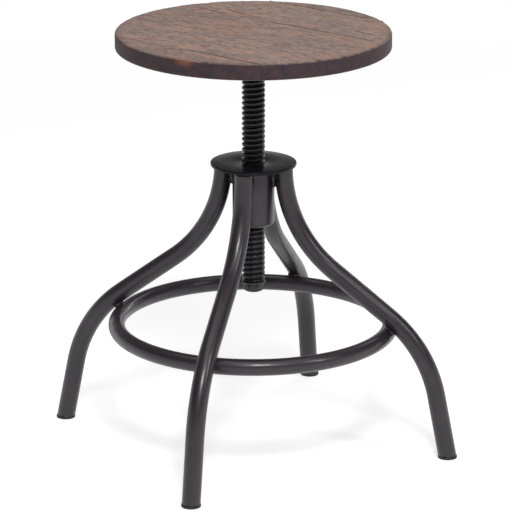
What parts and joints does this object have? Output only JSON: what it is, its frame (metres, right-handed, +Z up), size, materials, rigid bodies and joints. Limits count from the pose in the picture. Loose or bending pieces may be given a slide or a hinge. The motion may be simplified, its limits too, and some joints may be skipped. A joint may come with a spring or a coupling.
{
  "type": "machinist stool",
  "caption": "Backless work stool with a round plank seat that winds up and down on a lead screw in a frame of bent tube legs and a foot ring.",
  "frame": {"origin": "on the floor under the middle of the lead screw, at the centre of the bounding box's base", "axes": "+Z up along the lead screw; the four legs stand on the diagonals, so +X and +Y each point midway between two legs"},
  "size_m": [0.3718, 0.3718, 0.513],
  "materials": {
    "seat_wood": "weathered grey-brown timber with open grain",
    "frame_paint": "satin brown-black",
    "plate_paint": "smooth dark grey semi-gloss",
    "screw_black": "oiled black",
    "weld_bead": "painted over rough weld",
    "blackened_steel": "satin black",
    "zinc_screw": "plated",
    "plug_plastic": "matt black"
  },
  "bodies": {
    "base": {"top_plate": "plate_paint", "hub_sleeve": "frame_paint", "screw_nut": "screw_black", "hub_welds": "weld_bead", "foot_ring": "frame_paint", "ring_welds": "weld_bead", "front_left_leg": "frame_paint", "front_left_plug": "plug_plastic", "front_right_leg": "frame_paint", "front_right_plug": "plug_plastic", "back_left_leg": "frame_paint", "back_left_plug": "plug_plastic", "back_right_leg": "frame_paint", "back_right_plug": "plug_plastic"},
    "stop_ring": {"stop_washer": "screw_black"},
    "seat": {"seat_board_1": "seat_wood", "seat_board_2": "seat_wood", "seat_board_3": "seat_wood", "seat_board_4": "seat_wood", "seat_board_5": "seat_wood", "seat_flange": "blackened_steel", "flange_screws": "zinc_screw", "flange_weld": "weld_bead", "lead_screw": "screw_black", "stop_bolt": "screw_black"}
  },
  "joints": [
    {"name": "seat_lift", "type": "slide", "parent": "base", "child": "stop_ring", "axis": [0, 0, 1], "range_m": [-0.1296, 0.0699]},
    {"name": "seat_spin", "type": "hinge", "parent": "stop_ring", "child": "seat", "pos_m": [0, 0, 0.35], "axis": [0, 0, 1], "range_deg": [-7344, 3960]}
  ],
  "couplings": [
    {"joint": "seat_lift", "follows": "seat_spin", "m_per_rad": 0.0010106}
  ]
}
